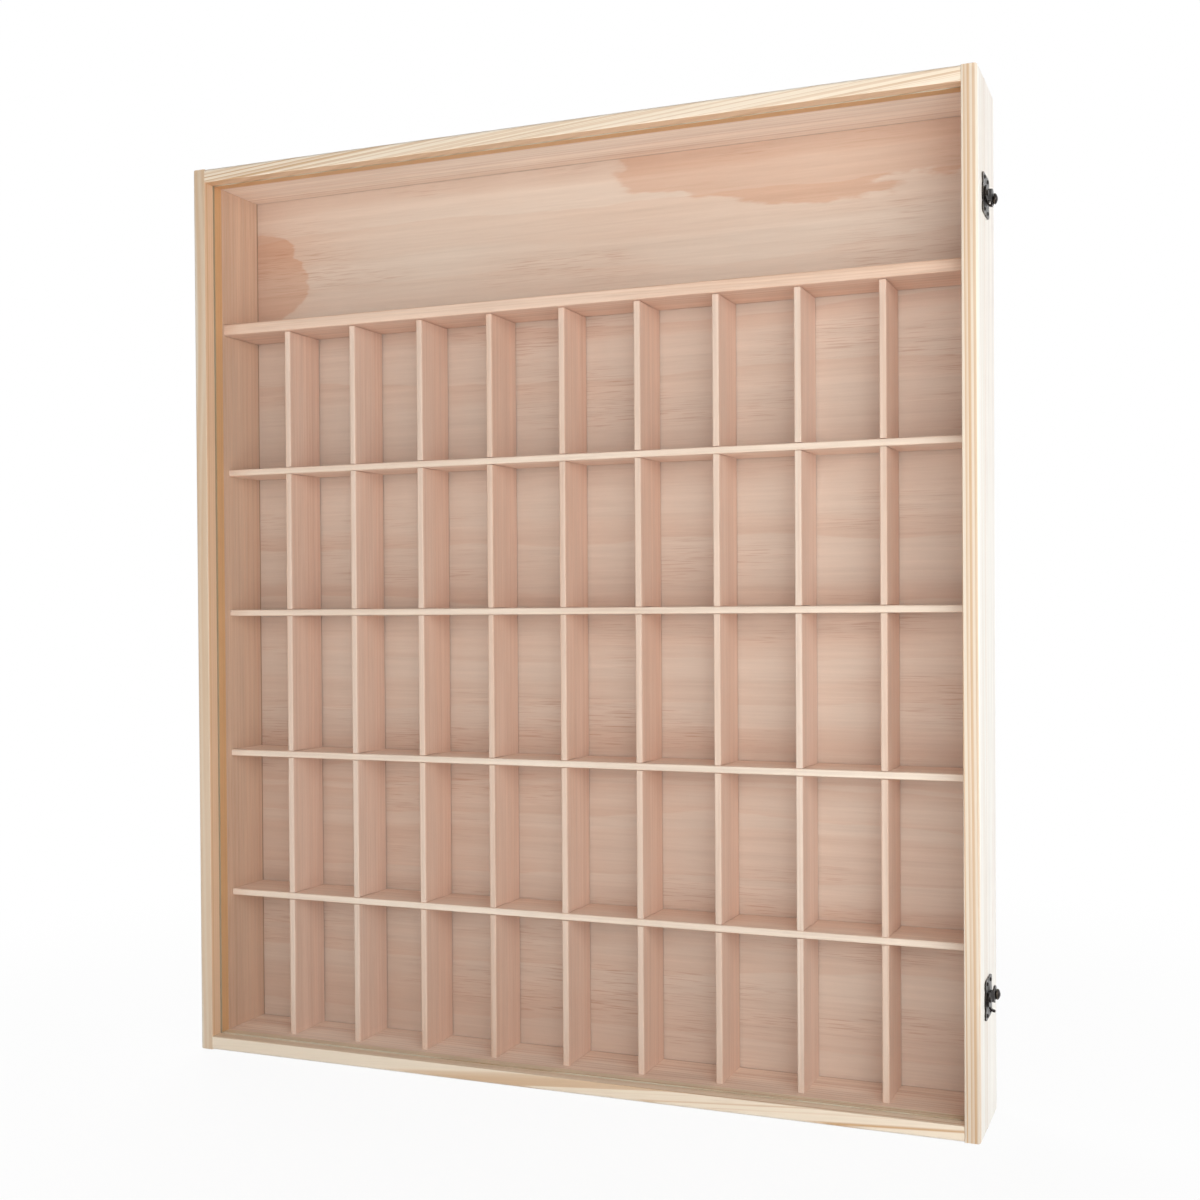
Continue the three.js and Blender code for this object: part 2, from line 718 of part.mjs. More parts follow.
function catchPost() {
  const collarSeat = latchPlateThickness + fitGap / 2;
  const headSeat = hookRaised + hookThickness + postSlotGap;
  return turnedX([
    [fitGap / 2, 0],
    [fitGap / 2, rivetRadius],
    [collarSeat, rivetRadius],
    [collarSeat, postCollarRadius],
    [collarSeat + postCollarHeight, postCollarRadius],
    [collarSeat + postCollarHeight, postNeckRadius],
    [headSeat, postNeckRadius],
    [headSeat, postHeadRadius * Math.cos(Math.PI / 6)],
    [headSeat + postHeadHeight / 4, postHeadRadius],
    [headSeat + postHeadHeight / 2, postHeadRadius * Math.cos(Math.PI / 8)],
    [headSeat + (postHeadHeight * 3) / 4, postHeadRadius * Math.cos(Math.PI / 4)],
    [headSeat + postHeadHeight, postHeadRadius / 4],
    [headSeat + postHeadHeight, 0],
  ]);
}

function latch(label, height) {
  const group = new THREE.Group();
  group.position.set(halfWidth, depthToY(seamDepth), height);
  const doorPlate = latchPlate(-1, doorPlateWidth, doorPlateScrewSetback, pivotSetback);
  const catchPlate = latchPlate(1, catchPlateWidth, catchPlateScrewSetback, postSetback);
  group.add(mesh(`${label}_latch_door_plate`, doorPlate, agedBronze()));
  group.add(mesh(`${label}_latch_catch_plate`, catchPlate, agedBronze()));
  const post = mesh(`${label}_latch_catch_post`, catchPost(), agedBronze());
  post.position.y = postSetback;
  group.add(post);
  const swinging = new THREE.Group();
  swinging.position.y = -pivotSetback;
  swinging.add(mesh(`${label}_latch_hook`, hook(), agedBronze()));
  swinging.add(mesh(`${label}_latch_pivot_rivet`, pivotRivet(), agedBronze()));
  group.add(swinging);
  for (const [plate, setback] of [['door', -doorPlateScrewSetback], ['catch', catchPlateScrewSetback]]) {
    for (const [place, end] of [['lower', -1], ['upper', 1]]) {
      const piece = mesh(
        `${label}_latch_${plate}_screw_${place}`, screw(latchPlateThickness + fitGap / 2), agedBronze());
      piece.position.set(0, setback, (end * latchScrewSpacing) / 2);
      group.add(piece);
    }
  }
  return group;
}

// Assembly
const heightFromTop = (inset) => cabinetHeight - inset;
const heightFromBottom = (inset) => inset;
const levelNames = ['lower', 'upper'];

const carcass = new THREE.Group();
carcass.add(mesh('case_left_side', leftCaseSide(), casePine()));
carcass.add(mesh('case_right_side', rightCaseSide(), casePine()));
carcass.add(mesh('case_top', caseEnd(heightFromTop), casePine()));
carcass.add(mesh('case_bottom', caseEnd(heightFromBottom), casePine()));
carcass.add(mesh('case_back_panel', backPanel(), backBoard()));
carcass.add(mesh('display_shelf', displayShelf(), casePine()));
for (let row = 1; row <= gridBoards; row += 1) {
  carcass.add(mesh(`grid_shelf_${row}`, gridShelf(row), gridPine()));
}
for (let column = 1; column < gridColumns; column += 1) {
  carcass.add(mesh(`grid_divider_${column}`, divider(column), gridPine()));
}

const door = new THREE.Group();
door.add(mesh('door_left_stile', leftDoorStile(), framePine()));
door.add(mesh('door_right_stile', rightDoorStile(), framePine()));
door.add(mesh('door_top_rail', doorRail(heightFromTop), framePine()));
door.add(mesh('door_bottom_rail', doorRail(heightFromBottom), framePine()));
door.add(mesh('door_glazing', glazingPanel(), clearAcrylic()));

const cabinet = new THREE.Group();
cabinet.add(carcass, door);
levelNames.forEach((label, index) => cabinet.add(hinge(label, hingeHeights[index])));
levelNames.forEach((label, index) => cabinet.add(latch(label, latchHeights[index])));

export default cabinet;
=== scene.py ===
"""Dresses a shallow pine display cabinet with a glazed door, a grid of cells and two latches."""

import math

import bmesh
import bpy
from bpy.props import FloatProperty, FloatVectorProperty, PointerProperty
from mathutils import Matrix, Vector


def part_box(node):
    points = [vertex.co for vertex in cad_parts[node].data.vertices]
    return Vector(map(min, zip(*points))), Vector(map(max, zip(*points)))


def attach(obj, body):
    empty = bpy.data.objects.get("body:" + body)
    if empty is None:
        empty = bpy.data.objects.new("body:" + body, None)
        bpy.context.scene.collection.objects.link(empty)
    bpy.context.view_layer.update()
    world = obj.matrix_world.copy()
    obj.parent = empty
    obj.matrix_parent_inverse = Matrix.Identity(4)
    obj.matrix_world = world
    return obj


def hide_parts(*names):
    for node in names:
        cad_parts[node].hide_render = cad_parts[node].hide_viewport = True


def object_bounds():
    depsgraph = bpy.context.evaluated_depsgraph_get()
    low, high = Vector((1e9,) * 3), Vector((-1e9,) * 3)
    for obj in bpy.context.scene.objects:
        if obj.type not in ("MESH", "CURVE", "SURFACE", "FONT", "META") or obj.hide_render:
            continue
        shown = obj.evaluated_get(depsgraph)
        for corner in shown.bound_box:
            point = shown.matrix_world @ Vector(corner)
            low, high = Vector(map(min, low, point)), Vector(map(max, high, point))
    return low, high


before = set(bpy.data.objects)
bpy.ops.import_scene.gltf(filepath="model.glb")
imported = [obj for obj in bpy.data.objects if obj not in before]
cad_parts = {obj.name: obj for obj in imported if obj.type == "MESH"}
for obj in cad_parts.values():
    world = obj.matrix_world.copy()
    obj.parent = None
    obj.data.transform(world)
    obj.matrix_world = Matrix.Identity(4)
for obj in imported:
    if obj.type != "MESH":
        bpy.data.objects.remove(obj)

bl_info = {
    "name": "Display Cabinet",
    "version": (1, 0, 0),
    "blender": (4, 5, 0),
    "location": "3D View > Sidebar > Cabinet",
    "description": "Dresses a glazed pine display cabinet and sets its stage",
    "category": "Add Mesh",
}

CAD_BOX = [list(corner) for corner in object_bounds()]
CASE_LOW = Vector(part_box("case_left_side")[0])
CASE_HIGH = Vector(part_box("case_right_side")[1])
MM = 0.001


def tone(red, green, blue):
    """A display colour of 0 to 255 as the linear colour that Blender's sockets take."""
    shares = [channel / 255 for channel in (red, green, blue)]
    return tuple(s / 12.92 if s <= 0.04045 else ((s + 0.055) / 1.055) ** 2.4 for s in shares)


def colour_property(name, description, display):
    return FloatVectorProperty(name=name, description=description, subtype="COLOR", size=3,
                               min=0, max=1, default=tone(*display))


def length_property(name, description, millimetres, low=0.0):
    return FloatProperty(name=name, description=description, subtype="DISTANCE", unit="LENGTH",
                         min=low, default=millimetres * MM, precision=5)


def share_property(name, description, default):
    return FloatProperty(name=name, description=description, subtype="FACTOR", min=0, max=1,
                         default=default)


def power_property(name, description, watts):
    return FloatProperty(name=name, description=description, unit="POWER", min=0, default=watts)


class CabinetWood(bpy.types.PropertyGroup):
    """Colours and grain of the pine boards."""
    stile_pale: colour_property("Stile ground", "Pale wood of the door's stiles", (221, 207, 188))
    rail_pale: colour_property("Rail ground", "Pale wood of the door's rails", (239, 224, 203))
    frame_amber: colour_property("Frame line", "Growth lines of the door frame", (196, 150, 100))
    case_pale: colour_property("Case ground", "Pale wood of the case sides", (220, 185, 162))
    shelf_pale: colour_property("Display shelf ground",
                                "Pale wood of the display shelf", (238, 202, 183))
    lid_pale: colour_property("Lid ground",
                              "Pale wood of the case top and bottom", (255, 234, 220))
    case_amber: colour_property("Case line", "Growth lines of the case boards", (212, 160, 128))
    grid_pale: colour_property("Divider ground", "Pale wood of the dividers", (236, 206, 191))
    # The shelves' ground is paler than the dividers' ground: partly the wood's own tone, partly
    # painted light standing in for the frontal light on the shelf fronts
    grid_level_pale: colour_property("Shelf ground",
                                     "Pale wood of the grid shelves", (253, 230, 215))
    grid_amber: colour_property("Grid line",
                                "Growth lines of the shelves and dividers", (222, 174, 148))
    back_pale: colour_property("Back ground", "Pale wood of the back panel", (225, 201, 187))
    back_amber: colour_property("Back figure", "Flame figure of the back panel", (206, 150, 119))
    # Outside ground: pale wood raised almost to white as painted light, standing in for the glare
    # on the lit right side; it is used on the sides, top and underside alike
    bleached: colour_property("Outside ground",
                              "Pale wood of the sides, top and underside", (244, 241, 234))
    golden: colour_property("Reveal ground", "Honey tone inside the door frame", (225, 176, 131))
    ring_spacing: length_property("Ring spacing",
                                  "Distance from one growth ring to the next", 3.1, 0.0001)
    wander: length_property("Wander", "How far the grain drifts along a board", 5.0)
    arris: length_property("Arris", "Softening of the sharp edges of the boards", 0.35)


class CabinetGlazing(bpy.types.PropertyGroup):
    """The clear sheet in the door."""
    tint: colour_property("Tint", "What the sheet lets through", (251, 253, 252))
    index: FloatProperty(name="Refractive index", description="How strongly the sheet mirrors",
                         min=1, max=2, default=1.3)
    arris: length_property("Arris", "Softening of the sheet's cut edges", 0.2)


class CabinetHardware(bpy.types.PropertyGroup):
    """Hinges, latches and screws."""
    dark: colour_property("Patina", "Aged bronze away from the edges", (44, 39, 37))
    worn: colour_property("Worn metal", "Where hands have rubbed the patina off", (186, 170, 150))
    arris: length_property("Arris", "Rounding of the pressed edges", 0.25)
    screw_radius: length_property("Screw head radius",
                                  "Radius of a screw's domed head", 1.6, 0.0001)
    screw_height: length_property("Screw head height",
                                  "Height of a screw's domed head", 0.8, 0.0001)
    slot_width: length_property("Recess width",
                                "Width of the cross recess in a head", 0.32, 0.0001)
    slot_depth: length_property("Recess depth",
                                "Depth of the cross recess in a head", 0.45, 0.0001)


class CabinetStage(bpy.types.PropertyGroup):
    """Camera, lamps and floor."""
    eye: FloatVectorProperty(name="Camera place", description="Where the camera stands", size=3,
                             subtype="TRANSLATION", unit="LENGTH",
                             default=(0.50923, -1.16342, 0.39872))
    yaw: FloatProperty(name="Camera turn", description="Turn to the left from straight ahead",
                       subtype="ANGLE", default=math.radians(21.642))
    pitch: FloatProperty(name="Camera pitch", description="Tilt upwards", subtype="ANGLE",
                         default=math.radians(-0.659))
    roll: FloatProperty(name="Camera roll", description="Turn about the line of sight",
                        subtype="ANGLE", default=math.radians(-0.362))
    lens: FloatProperty(name="Focal length", description="Lens in millimetres on a 36 mm sensor",
                        min=1, default=44.751)
    shift: FloatVectorProperty(name="Lens shift", description="Framing shift across and up",
                               size=2, default=(-0.0167, 0.0223))
    key_power: power_property("Key lamp", "Power of the large lamp beside the camera", 3)
    fill_power: power_property("Fill lamp", "Power of the lamp around the camera", 5.5)
    near_power: power_property("Near lamp", "Power of the lamp near the right cells", 9.3)
    left_power: power_property("Left lamp", "Power of the lamp in front on the left", 4.8)
    rear_power: power_property("Rear lamp", "Power of the lamp above on the left, behind", 46)
    side_power: power_property("Side lamp", "Power of the lamp on the right", 13.5)
    bounce_power: power_property("Bounce lamp", "Power of the lamp on the floor in front", 2.5)
    sky: FloatProperty(name="Room light", description="Strength of the even light from the room",
                       min=0, default=0.08)
    floor_white: share_property("Floor white",
                                "How much of the floor is plain white to the eye", 0.93)


# Meshes
# Corners nearer than this are one
WELD = 0.002 * MM
# Faces that meet at less than FLAT are joined, edges sharper than EASED are eased, and edges
# sharper than CREASED aren't shaded smooth
FLAT, EASED, CREASED = (math.radians(degrees) for degrees in (0.6, 35, 50))


def piece_from(mesh, name):
    """A new object at the origin for a finished mesh."""
    mesh.name = name
    piece = bpy.data.objects.new(name, mesh)
    bpy.context.scene.collection.objects.link(piece)
    return piece


def evaluated_mesh(piece):
    """The mesh of an object with its modifiers carried out."""
    bpy.context.view_layer.update()
    graph = bpy.context.evaluated_depsgraph_get()
    return bpy.data.meshes.new_from_object(piece.evaluated_get(graph), depsgraph=graph)


def settle(piece):
    """Carries out an object's modifiers and removes them."""
    mesh = evaluated_mesh(piece)
    old = piece.data
    piece.modifiers.clear()
    piece.data = mesh
    bpy.data.meshes.remove(old)
    mesh.name = piece.name
    return piece


def softened(name, node, arris):
    """One piece from a packed solid, with its flat faces joined and its sharp edges eased."""
    shape = bmesh.new()
    shape.from_mesh(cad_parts[node].data)
    worn = shape.faces.layers.float.new("edge")
    bmesh.ops.remove_doubles(shape, verts=shape.verts, dist=WELD)
    bmesh.ops.dissolve_limit(shape, angle_limit=FLAT, verts=shape.verts,
                             edges=shape.edges, use_dissolve_boundaries=False)
    sharp = [edge for edge in shape.edges
             if len(edge.link_faces) == 2 and edge.calc_face_angle_signed(0) > EASED
             and edge.calc_length() > arris]
    rounded = bmesh.ops.bevel(shape, geom=sharp, offset=arris, offset_type="OFFSET",
                              segments=2, profile=0.5, affect="EDGES", clamp_overlap=True)
    for face in rounded["faces"]:
        face[worn] = 1.0
    for face in shape.faces:
        face.smooth = True
    mesh = bpy.data.meshes.new(name)
    shape.to_mesh(mesh)
    shape.free()
    mesh.materials.clear()
    mesh.set_sharp_from_angle(angle=CREASED)
    piece = piece_from(mesh, name)
    even = piece.modifiers.new("Even shading", "WEIGHTED_NORMAL")
    even.keep_sharp = True
    even.weight = 80
    return settle(piece)


def hold(piece, body, material, nodes):
    """Gives a finished piece its material and body, and stands it for its nodes."""
    if material is not None:
        piece.data.materials.clear()
        piece.data.materials.append(material)
    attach(piece, body)
    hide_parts(*nodes)
    return piece


def set_pith(piece, heart):
    """Writes where the heart of the tree lies from the piece, which places its growth rings."""
    pith = piece.data.attributes.new("pith", "FLOAT_VECTOR", "POINT")
    pith.data.foreach_set("vector", list(heart) * len(piece.data.vertices))


# Node trees
def add(tree, kind, inputs=None, **settings):
    """A node with its settings and inputs, where an input is a value or another node's socket."""
    node = tree.nodes.new(kind)
    for name, value in settings.items():
        setattr(node, name, value)
    for key, value in (inputs or {}).items():
        socket = node.inputs[key]
        if isinstance(value, bpy.types.NodeSocket):
            tree.links.new(value, socket)
        else:
            socket.default_value = value
    return node


def maths(tree, operation, *values):
    return add(tree, "ShaderNodeMath", dict(enumerate(values)), operation=operation).outputs[0]


def vector_maths(tree, operation, *values):
    node = add(tree, "ShaderNodeVectorMath", dict(enumerate(values)), operation=operation)
    return node.outputs["Value" if operation == "LENGTH" else "Vector"]


def spread(tree, value, low, high, to_low=0.0, to_high=1.0):
    """Maps a value smoothly from one span to another, held at the ends."""
    node = add(tree, "ShaderNodeMapRange", {"Value": value, "From Min": low, "From Max": high,
                                            "To Min": to_low, "To Max": to_high},
               interpolation_type="SMOOTHSTEP")
    return node.outputs["Result"]


def noise(tree, position, stretch, detail=2.0, roughness=0.5):
    """Noise whose cells are stretched: stretch gives the cells to a metre along each axis."""
    placed = vector_maths(tree, "MULTIPLY", position, stretch)
    return add(tree, "ShaderNodeTexNoise", {"Vector": placed, "Scale": 1.0, "Detail": detail,
                                            "Roughness": roughness})


def blend_colour(tree, share, under, over, mode="MIX"):
    node = add(tree, "ShaderNodeMix", data_type="RGBA", blend_type=mode)
    for key, value in ((0, share), (6, under), (7, over)):
        if isinstance(value, bpy.types.NodeSocket):
            tree.links.new(value, node.inputs[key])
        else:
            node.inputs[key].default_value = value
    return node.outputs[2]


def shader_group(name, inputs, outputs):
    """An empty shader group with its named inputs and outputs."""
    group = bpy.data.node_groups.new(name, "ShaderNodeTree")
    for label, kind, default in inputs:
        socket = group.interface.new_socket(label, in_out="INPUT", socket_type=kind)
        if default is not None:
            socket.default_value = default
    for label, kind in outputs:
        group.interface.new_socket(label, in_out="OUTPUT", socket_type=kind)
    return group, group.nodes.new("NodeGroupInput").outputs, group.nodes.new("NodeGroupOutput")


COLOUR, FLOAT, VECTOR = "NodeSocketColor", "NodeSocketFloat", "NodeSocketVector"


# The share of late wood's colour in the warmest of the repeated boards
BOARD_TINT = 0.3
# Noise cells to a metre, along the grain and across it both ways
DRIFT_CELLS = (2.1, 8.0, 8.0)
FADE_CELLS = (1.6, 18.0, 18.0)
FIBRE_CELLS = (13.0, 620.0, 620.0)
FINE_CELLS = (50.0, 2300.0, 2300.0)
STRIPE_CELLS = (2.2, 150.0, 150.0)
CLUSTER_CELLS = (5.0, 22.0, 22.0)
SPECK_CELLS = (32.0, 1400.0, 1400.0)
WARM_CELLS = (2.4, 11.0, 11.0)


def pine_figure():
    """Growth rings, fibres and resin dashes of pine, whose grain runs along X."""
    if "Pine figure" in bpy.data.node_groups:
        return bpy.data.node_groups["Pine figure"]
    tree, given, result = shader_group(
        "Pine figure",
        [("Position", VECTOR, None), ("Pale", COLOUR, None), ("Amber", COLOUR, None),
         ("Ring Spacing", FLOAT, 0.0028), ("Wander", FLOAT, 0.005), ("Ragged", FLOAT, 0.3),
         ("Contrast", FLOAT, 0.8), ("Fibre", FLOAT, 0.1), ("Dashes", FLOAT, 0.3),
         ("Warm Patches", FLOAT, 0.2), ("Edge", FLOAT, 0.0),
         ("Bleached", COLOUR, None), ("Golden", COLOUR, None),
         ("Outside", FLOAT, 0.0), ("Reveal", FLOAT, 0.0), ("Band Start", FLOAT, 0.3),
         ("Band Peak", FLOAT, 0.8), ("Flame", FLOAT, 0.0), ("Seam", FLOAT, 0.0),
         ("Tint", FLOAT, 0.0)],
        [("Color", COLOUR), ("Roughness", FLOAT), ("Height", FLOAT)])
    position = given["Position"]
    drift = noise(tree, position, DRIFT_CELLS, 6.0, given["Ragged"]).outputs["Color"]
    drift = vector_maths(tree, "SUBTRACT", drift, (0.5, 0.5, 0.5))
    reach = add(tree, "ShaderNodeCombineXYZ", {0: 0.0, 1: given["Wander"], 2: given["Wander"]})
    bent = vector_maths(tree, "MULTIPLY_ADD", drift, reach.outputs[0], position)
    across = vector_maths(tree, "MULTIPLY", bent, (0.0, 1.0, 1.0))
    radius = vector_maths(tree, "LENGTH", across)
    rings = maths(tree, "DIVIDE", radius, given["Ring Spacing"])
    uneven = add(tree, "ShaderNodeTexNoise", {"W": maths(tree, "MULTIPLY", rings, 0.4),
                                              "Detail": 1.0}, noise_dimensions="1D").outputs[0]
    rings = maths(tree, "MULTIPLY_ADD", uneven, 1.4, rings)
    through = maths(tree, "FRACT", rings)
    band = maths(tree, "MULTIPLY", spread(tree, through, given["Band Start"], given["Band Peak"]),
                 spread(tree, through, given["Band Peak"], 1.0, 1.0, 0.0))
    odd = add(tree, "ShaderNodeTexWhiteNoise", {"W": maths(tree, "FLOOR", rings)},
              noise_dimensions="1D").outputs["Value"]
    strength = spread(tree, odd, 0.0, 1.0, 0.5, 1.0)
    fade = spread(tree, noise(tree, position, FADE_CELLS).outputs[0], 0.3, 0.7, 0.65, 1.0)
    late = maths(tree, "MULTIPLY", maths(tree, "MULTIPLY", band, strength),
                 maths(tree, "MULTIPLY", fade, given["Contrast"]))
    fibre = noise(tree, position, FIBRE_CELLS, 3.0, 0.6).outputs[0]
    fine = noise(tree, position, FINE_CELLS, 1.0).outputs[0]
    streaks = maths(tree, "ADD", maths(tree, "MULTIPLY", fibre, 0.7),
                    maths(tree, "MULTIPLY", fine, 0.3))
    stripe = noise(tree, position, STRIPE_CELLS, 2.0, 0.6).outputs[0]
    streaks = maths(tree, "ADD", streaks, maths(tree, "MULTIPLY", stripe, 0.8))
    streaks = maths(tree, "SUBTRACT", streaks, 0.9)
    cluster = spread(tree, noise(tree, position, CLUSTER_CELLS).outputs[0], 0.47, 0.64)
    speck = spread(tree, noise(tree, position, SPECK_CELLS, 1.0).outputs[0], 0.57, 0.66)
    dashes = maths(tree, "MULTIPLY", maths(tree, "MULTIPLY", speck, cluster), given["Dashes"])
    warm = spread(tree, noise(tree, position, WARM_CELLS, 3.0).outputs[0], 0.42, 0.66)
    warm = maths(tree, "MULTIPLY", warm, given["Warm Patches"])
    warm = maths(tree, "MULTIPLY_ADD", given["Tint"], BOARD_TINT, warm)
    share = maths(tree, "ADD", maths(tree, "ADD", late, warm), given["Flame"])
    share = maths(tree, "SUBTRACT", share, maths(tree, "MULTIPLY", streaks, given["Fibre"]))
    calm = maths(tree, "MAXIMUM", given["Outside"], given["Reveal"])
    share = maths(tree, "MULTIPLY", share, spread(tree, calm, 0.0, 1.0, 1.0, 0.35))
    # Outside faces take the near-white outside colour, a painted highlight
    ground = blend_colour(tree, given["Outside"], given["Pale"], given["Bleached"])
    ground = blend_colour(tree, given["Reveal"], ground, given["Golden"])
    colour = blend_colour(tree, share, ground, given["Amber"])
    resin = blend_colour(tree, 1.0, given["Amber"], (0.72, 0.55, 0.42, 1.0), "MULTIPLY")
    colour = blend_colour(tree, dashes, colour, resin)
    light = maths(tree, "MULTIPLY_ADD", streaks, given["Fibre"], 1.0)
    light = maths(tree, "SUBTRACT", light, maths(tree, "MULTIPLY", given["Edge"], 0.05))
    # Seam Shade darkens the colour as painted shade, except on outside and reveal faces
    light = maths(tree, "SUBTRACT", light,
                  maths(tree, "MULTIPLY", given["Seam"], maths(tree, "SUBTRACT", 1.0, calm)))
    shade = add(tree, "ShaderNodeCombineColor", {0: light, 1: light, 2: light}).outputs[0]
    colour = blend_colour(tree, 1.0, colour, shade, "MULTIPLY")
    rough = maths(tree, "MULTIPLY_ADD", streaks, 0.25, 0.52)
    rough = maths(tree, "SUBTRACT", rough, maths(tree, "MULTIPLY", late, 0.08))
    height = maths(tree, "MULTIPLY_ADD", streaks, 0.6, maths(tree, "MULTIPLY", late, 0.3))
    height = maths(tree, "SUBTRACT", height, dashes)
    for label, socket in (("Color", colour), ("Roughness", rough), ("Height", height)):
        tree.links.new(socket, result.inputs[label])
    return tree


def worn_patina():
    """Aged bronze that is rubbed bright along its edges and mottled between them."""
    if "Worn patina" in bpy.data.node_groups:
        return bpy.data.node_groups["Worn patina"]
    tree, given, result = shader_group(
        "Worn patina",
        [("Position", VECTOR, None), ("Dark", COLOUR, None), ("Worn", COLOUR, None),
         ("Wear", FLOAT, 0.7), ("Edge", FLOAT, 0.0)],
        [("Color", COLOUR), ("Roughness", FLOAT), ("Height", FLOAT)])
    position = given["Position"]
    mottle = noise(tree, position, (260.0, 260.0, 260.0), 4.0, 0.6).outputs[0]
    grit = noise(tree, position, (2600.0, 2600.0, 2600.0), 2.0).outputs[0]
    rubbed = spread(tree, mottle, 0.36, 0.62)
    share = maths(tree, "MULTIPLY", maths(tree, "MULTIPLY", rubbed, given["Edge"]), given["Wear"])
    share = maths(tree, "MULTIPLY_ADD", spread(tree, mottle, 0.6, 0.78), 0.12, share)
    colour = blend_colour(tree, share, given["Dark"], given["Worn"])
    rough = maths(tree, "MULTIPLY_ADD", mottle, 0.3, 0.16)
    height = maths(tree, "MULTIPLY_ADD", grit, 0.4, mottle)
    for label, socket in (("Color", colour), ("Roughness", rough), ("Height", height)):
        tree.links.new(socket, result.inputs[label])
    return tree


def new_material(name):
    material = bpy.data.materials.new(name)
    material.use_nodes = True
    material.node_tree.nodes.clear()
    return material, material.node_tree


def attribute(tree, name):
    return add(tree, "ShaderNodeAttribute", attribute_name=name)


# Painted shade: how much darker the wood is in the corner along the back panel, standing in for
# the shadow in the gap there
SEAM_SHADE = 0.4
# How far before the panel that begins, and where it is full
SEAM_START, SEAM_END = 2.0 * MM, 0.9 * MM


def wood_material(name, pale, amber, upright, spacing, wander, contrast, fibre, dashes, patches,
                  lean=0.0, ragged=0.3, band=(0.3, 0.8), seam_shade=0.0):
    """Pine whose growth rings run about the piece's own pith, level or upright.

    spacing and wander are in metres and lean is in degrees. The others are shares, and band is
    where in a ring the late wood starts and peaks.
    """
    if name in bpy.data.materials:
        return bpy.data.materials[name]
    material, tree = new_material(name)
    place = add(tree, "ShaderNodeTexCoord").outputs["Object"]
    heart = attribute(tree, "pith").outputs["Vector"]
    offset = vector_maths(tree, "SUBTRACT", place, heart)
    turn = (0.0, math.radians(90 + lean if upright else lean), 0.0)
    turned = add(tree, "ShaderNodeMapping", {"Vector": offset, "Rotation": turn}).outputs[0]
    figure = add(tree, "ShaderNodeGroup", node_tree=pine_figure())
    figure.name = "Figure"
    wood = bpy.context.scene.cabinet_wood
    values = {"Pale": (*pale, 1), "Amber": (*amber, 1), "Bleached": (*wood.bleached, 1),
              "Golden": (*wood.golden, 1), "Ring Spacing": spacing, "Wander": wander,
              "Ragged": ragged, "Contrast": contrast, "Fibre": fibre, "Dashes": dashes,
              "Warm Patches": patches, "Band Start": band[0], "Band Peak": band[1]}
    for label, value in values.items():
        figure.inputs[label].default_value = value
    tree.links.new(turned, figure.inputs["Position"])
    for label in ("Edge", "Outside", "Reveal", "Tint"):
        tree.links.new(attribute(tree, label.lower()).outputs["Fac"], figure.inputs[label])
    # Painted shade: the board darkens as it nears the back panel
    if seam_shade:
        depth = add(tree, "ShaderNodeSeparateXYZ", {"Vector": place}).outputs["Y"]
        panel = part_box("case_back_panel")[0].y
        painted_seam_shade = spread(tree, depth, panel - SEAM_START, panel - SEAM_END, 0.0, seam_shade)
        tree.links.new(painted_seam_shade, figure.inputs["Seam"])
    relief = add(tree, "ShaderNodeBump", {"Height": figure.outputs["Height"], "Strength": 0.25,
                                          "Distance": 0.0002})
    surface = add(tree, "ShaderNodeBsdfPrincipled", {
        "Base Color": figure.outputs["Color"], "Roughness": figure.outputs["Roughness"],
        "Normal": relief.outputs[0], "Specular IOR Level": 0.35})
    end = add(tree, "ShaderNodeOutputMaterial")
    tree.links.new(surface.outputs[0], end.inputs[0])
    return material


def frame_wood(upright):
    wood = bpy.context.scene.cabinet_wood
    return wood_material("door_frame_pine_" + ("upright" if upright else "level"),
                         wood.stile_pale if upright else wood.rail_pale, wood.frame_amber,
                         upright, wood.ring_spacing, wood.wander * 0.6, contrast=1.0, fibre=0.12,
                         dashes=0.1, patches=0.06, lean=0.3 if upright else 4.0)


def case_wood(name, pale, upright=False):
    wood = bpy.context.scene.cabinet_wood
    return wood_material(name, pale, wood.case_amber, upright, wood.ring_spacing * 1.4,
                         wood.wander * 1.6, contrast=0.5, fibre=0.4, dashes=0.2, patches=0.2,
                         seam_shade=SEAM_SHADE)


def grid_wood(upright):
    wood = bpy.context.scene.cabinet_wood
    return wood_material("grid_pine_" + ("upright" if upright else "level"),
                         wood.grid_pale if upright else wood.grid_level_pale, wood.grid_amber,
                         upright, wood.ring_spacing * 1.2, wood.wander * 1.4, contrast=0.3,
                         fibre=0.3, dashes=0.15, patches=0.12, seam_shade=SEAM_SHADE)


# Middles and reaches of the two flames behind the display shelf, as shares of the panel
FLAMES = (((0.015, 0.90), (0.07, 0.058)), ((0.80, 1.0), (0.25, 0.08)))


def flame(tree, place, middle, reach):
    """A patch of late wood with a ragged sharp rim that fades towards its middle."""
    low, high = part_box("case_back_panel")
    width, height = high.x - low.x, high.z - low.z
    centre = (low.x + middle[0] * width, 0.0, low.z + middle[1] * height)
    scale = (1 / (reach[0] * width), 0.0, 1 / (reach[1] * height))
    offset = vector_maths(tree, "MULTIPLY", vector_maths(tree, "SUBTRACT", place, centre), scale)
    ragged = noise(tree, place, (9.0, 30.0, 40.0), 6.0, 0.6).outputs[0]
    far = maths(tree, "MULTIPLY_ADD", ragged, 1.0, vector_maths(tree, "LENGTH", offset))
    rim = spread(tree, far, 1.5, 1.42)
    return maths(tree, "MULTIPLY", rim, spread(tree, far, 0.5, 1.45, 0.3, 0.45))


